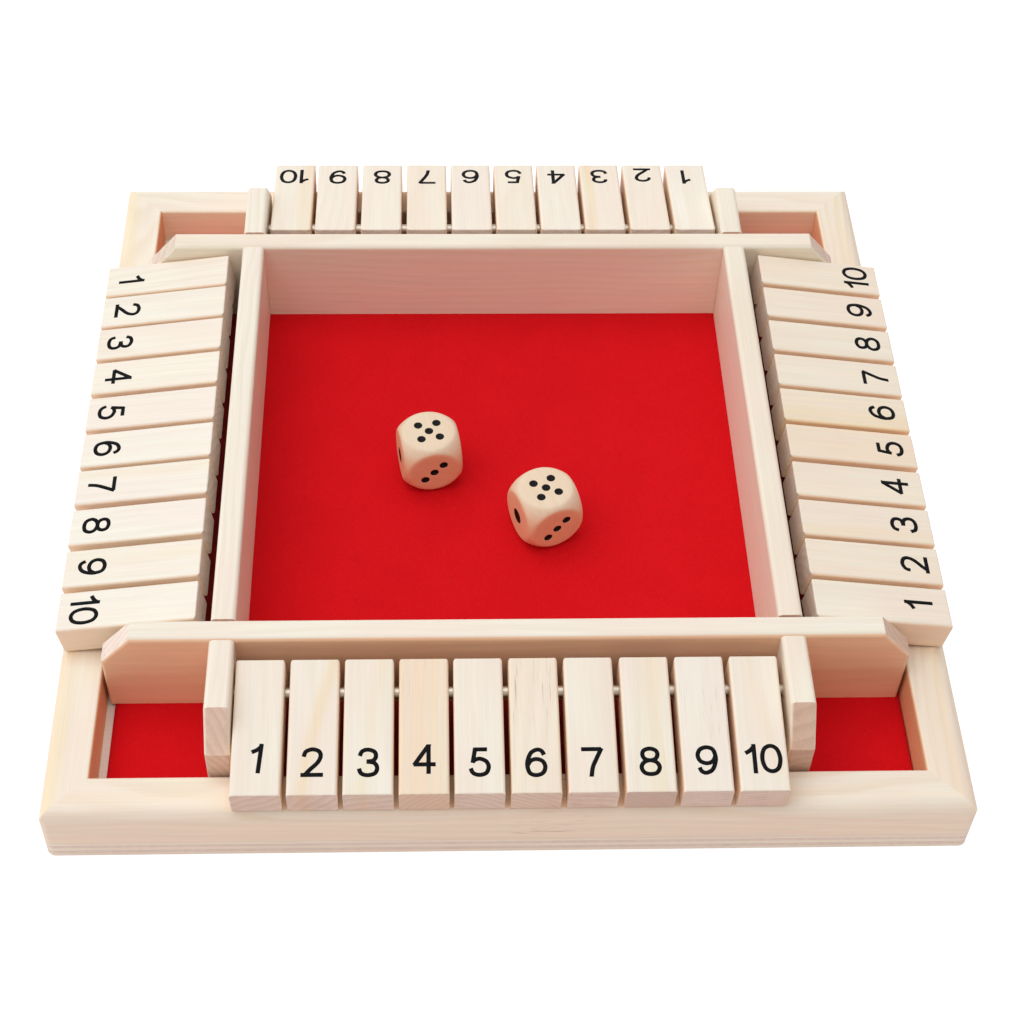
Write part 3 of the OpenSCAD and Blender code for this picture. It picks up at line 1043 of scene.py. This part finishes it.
ink, tree = new_material("printed_black")
ink_mottle = noise(tree, place_in_mm(tree), (2.0, 2.0, 2.0), detail=3.0)
surfaced(tree, {
    "Base Color": tint(tree, step(tree, ink_mottle, 0.45, 0.75), INK_BLACK, INK_THIN),
    "Roughness": step(tree, ink_mottle, 0.3, 0.7, 0.42, 0.6),
    "Specular IOR Level": 0.04,
})

pen_tree, pen_in = geometry_tree("flat_pen", PEN)
strokes = node(pen_tree, "GeometryNodeMeshToCurve", {"Mesh": pen_in["Geometry"]})
level_strokes = node(pen_tree, "GeometryNodeSetCurveNormal", {"Curve": strokes.outputs[0]}, mode="Z_UP")
nib_size = {"Width": pen_in["Line width"], "Height": pen_in["Pen thickness"]}
nib = node(pen_tree, "GeometryNodeCurvePrimitiveQuadrilateral", nib_size)
drawn_lines = swept(pen_tree, level_strokes.outputs[0], nib.outputs[0])
overlaps = {"Mesh 2": drawn_lines, "Self Intersection": True}
joined = node(pen_tree, "GeometryNodeMeshBoolean", overlaps, operation="UNION", solver="EXACT")
trim_sides = {"X": pen_in["Box width"], "Y": pen_in["Box height"], "Z": TRIM_DEPTH}
trim_size = node(pen_tree, "ShaderNodeCombineXYZ", trim_sides).outputs[0]
trim = node(pen_tree, "GeometryNodeMeshCube", {"Size": trim_size})
lines = {"Mesh 2": joined.outputs[0]}
trimmed = node(pen_tree, "GeometryNodeMeshBoolean", lines, operation="INTERSECT", solver="EXACT")
pen_tree.links.new(trim.outputs[0], trimmed.inputs["Mesh 2"])
end_tree(pen_tree, trimmed.outputs[0], ink)
print("flat_pen has", len(pen_tree.nodes), "nodes")

# %% Draw each figure once
FIGURE_HEIGHT = PEN["Box height"]
LINE = PEN["Line width"]


def drawn_figure(name):
    """One figure as a flat mesh in millimetres, centred on its box."""
    width = FIGURE_WIDTHS.get(name, PEN["Box width"])
    points = []
    edges = []
    for is_round, stroke in FIGURES[name]:
        stroke = [(x / BOX, y / BOX) for x, y in stroke]
        line, closed = smooth_line(stroke) if is_round else (stroke, False)
        first = len(points)
        for x, y in line:
            points.append(((x - 0.5) * (width - LINE), (y - 0.5) * (FIGURE_HEIGHT - LINE), 0.0))
        edges += [(first + i, first + i + 1) for i in range(len(line) - 1)]
        if closed:
            edges.append((len(points) - 1, first))
    mesh = bpy.data.meshes.new(f"strokes_{name}")
    mesh.from_pydata(points, edges, [])
    holder = in_scene(f"strokes_{name}", mesh)
    result = apply_tree(holder, pen_tree, {**PEN, "Box width": width})
    bpy.data.objects.remove(holder)
    return result, width


figure_meshes = {name: drawn_figure(name) for name in FIGURES}
print("figures:", {name: len(mesh.polygons) for name, (mesh, width) in figure_meshes.items()})

# %% Print the numbers on the tiles
INK_ABOVE = 0.03
INK_BELOW = 0.02
FIGURE_GAP = 0.45
# from a tile's outer end to the foot of its number, in millimetres, tile 1 first
NUMBER_FEET = {
    "front": [5.7, 4.6, 4.4, 5.1, 4.2, 4.0, 4.0, 4.0, 4.2, 4.4],
    "right": [4.2, 3.1, 3.7, 3.9, 3.1, 3.3, 3.1, 3.3, 3.7, 2.8],
    "back": [3.1, 2.0, 2.8, 3.1, 2.8, 2.8, 3.1, 3.1, 3.1, 2.8],
    "left": [3.5, 3.5, 2.6, 3.5, 2.8, 3.1, 3.1, 3.1, 3.5, 3.0],
}


def number_mesh(number):
    """The figures of a number side by side, centred, as one mesh in millimetres."""
    together = bmesh.new()
    widths = [figure_meshes[name][1] for name in str(number)]
    left = -(sum(widths) + FIGURE_GAP * (len(widths) - 1)) / 2
    for name, width in zip(str(number), widths):
        part = figure_meshes[name][0].copy()
        part.transform(Matrix.Translation((left + width / 2, 0.0, 0.0)))
        together.from_mesh(part)
        left += width + FIGURE_GAP
    mesh = bpy.data.meshes.new(f"number_{number}")
    together.to_mesh(mesh)
    together.free()
    return mesh


# the 1 of the front row is printed a little crooked
NUMBER_LEANS = {("front", 1): math.radians(-5)}

numbers = {number: number_mesh(number) for number in range(1, TILE_COUNT + 1)}
flattened = Matrix.Scale(INK_ABOVE + INK_BELOW, 4, (0.0, 0.0, 1.0))
to_layer = Matrix.Translation((0.0, 0.0, (INK_ABOVE - INK_BELOW) / 2)) @ flattened
for index, side in enumerate(SIDES):
    for number, mesh in numbers.items():
        along_row = (number - (TILE_COUNT + 1) / 2) * TILE_PITCH + SLIDES[side][number - 1] * TILE_GAP
        number_middle = -TILE_OUTER_END + (NUMBER_FEET[side][number - 1] + FIGURE_HEIGHT / 2) * MM
        placed = (
            Matrix.Rotation(PLAYER_TURN * index, 4, "Z")
            @ Matrix.Translation((along_row, -ROD_OUT, ROD_HEIGHT))
            @ Matrix.Rotation(TILE_TILT, 4, "X")
            @ Matrix.Translation((0.0, number_middle, TILE_TOP))
            @ Matrix.Rotation(NUMBER_LEANS.get((side, number), 0.0), 4, "Z")
            @ Matrix.Scale(MM, 4)
            @ to_layer
        )
        own = mesh.copy()
        own.transform(placed)
        piece = link_piece(f"number_{side}_{number}", own, ink)
        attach(piece, f"tile_{side}_{number}")
print("printed", len(SIDES) * TILE_COUNT, "numbers")

# %% [markdown]
# ## Floor and light
# The game was photographed on white, in soft daylight with hardly a shadow: the left row
# is the brightest and the right row the warmest. So the world is a bright sky overhead,
# a window at the back left, and a dim warm room on the other side. A wide softbox above
# gives faint shadows. The table throws warm light back up, which the low faces need.
# All is kept at a plain level, at which a white card would come out just white. The
# floor and the world look pure white to the camera by Light Path, and not through more
# light, so the wood keeps its tone.

# %% Floor
FLOOR_SIZE = 8.0
FLOOR_DROP = 0.02 * MM
FLOOR_BOUNCE = rgb(0.970, 0.885, 0.845)
TABLE_GLOW = rgb(0.140, 0.090, 0.075)
FLOOR_CARD = rgb(0.350, 0.350, 0.350)
FLOOR_SHOWN = 0.80


def backdrop(tree, lighting, shown):
    """One shader that lights the game, and one for the camera's rays and for reflected ones."""
    path = node(tree, "ShaderNodeLightPath").outputs
    shiny = calc(tree, "MAXIMUM", path["Is Glossy Ray"], path["Is Transmission Ray"])
    seen = calc(tree, "MAXIMUM", path["Is Camera Ray"], shiny)
    sockets = {0: seen, 1: lighting.outputs[0], 2: shown.outputs[0]}
    return node(tree, "ShaderNodeMixShader", sockets).outputs[0]


floor_mesh = bpy.data.meshes.new("floor")
half = FLOOR_SIZE / 2
corners = [(x * half, y * half, -FLOOR_DROP) for x, y in ((-1, -1), (1, -1), (1, 1), (-1, 1))]
floor_mesh.from_pydata(corners, [], [(0, 1, 2, 3)])
floor_finish, tree = new_material("floor_white")
table = node(tree, "ShaderNodeBsdfDiffuse", {"Color": FLOOR_BOUNCE})
glow = node(tree, "ShaderNodeEmission", {"Color": TABLE_GLOW, "Strength": 1.0})
bounce = node(tree, "ShaderNodeAddShader", {0: table.outputs[0], 1: glow.outputs[0]})
card = node(tree, "ShaderNodeBsdfDiffuse", {"Color": FLOOR_CARD})
lift = node(tree, "ShaderNodeEmission", {"Color": WHITE, "Strength": FLOOR_SHOWN})
shown = node(tree, "ShaderNodeAddShader", {0: card.outputs[0], 1: lift.outputs[0]})
node(tree, "ShaderNodeOutputMaterial", {"Surface": backdrop(tree, bounce, shown)})
link_piece("floor", floor_mesh, floor_finish)
print("floor of", FLOOR_SIZE, "m")

# %% World and lamp
OVERHEAD = rgb(0.830, 0.920, 1.020)
OVERHEAD_WAY = (0.0, -0.12, 0.993)
WINDOW = rgb(0.880, 0.930, 0.950)
DIM_SIDE = rgb(0.220, 0.110, 0.060)
WINDOW_WAY = (-0.75, 0.65, 0.0)
LAMP_PLACE = (-0.40, 0.05, 1.30)
SOFTBOX = {"shape": "SQUARE", "size": 1.3, "energy": 8.4, "color": (0.95, 0.98, 1.0)}

world = bpy.data.worlds.new("studio")
world.use_nodes = True
tree = world.node_tree
tree.nodes.clear()
sky_way = node(tree, "ShaderNodeTexCoord").outputs["Generated"]
side_light = tint(tree, step(tree, dot(tree, sky_way, WINDOW_WAY), -0.5, 0.8), DIM_SIDE, WINDOW)
sky_color = tint(tree, step(tree, dot(tree, sky_way, OVERHEAD_WAY), 0.50, 0.85), side_light, OVERHEAD)
soft_sky = node(tree, "ShaderNodeBackground", {"Color": sky_color, "Strength": 1.0})
white_sky = node(tree, "ShaderNodeBackground", {"Color": WHITE, "Strength": 1.0})
node(tree, "ShaderNodeOutputWorld", {"Surface": backdrop(tree, soft_sky, white_sky)})
bpy.context.scene.world = world

lamp = bpy.data.lights.new("overhead_softbox", "AREA")
set_all(lamp, SOFTBOX)
lamp_holder = in_scene("overhead_softbox", lamp)
lamp_holder.location = LAMP_PLACE
lamp_holder.rotation_euler = (-Vector(LAMP_PLACE)).to_track_quat("-Z", "Y").to_euler()
bpy.context.scene.view_settings.view_transform = "Standard"
print("lamp of", SOFTBOX["energy"], "W, up to the left of the tray")
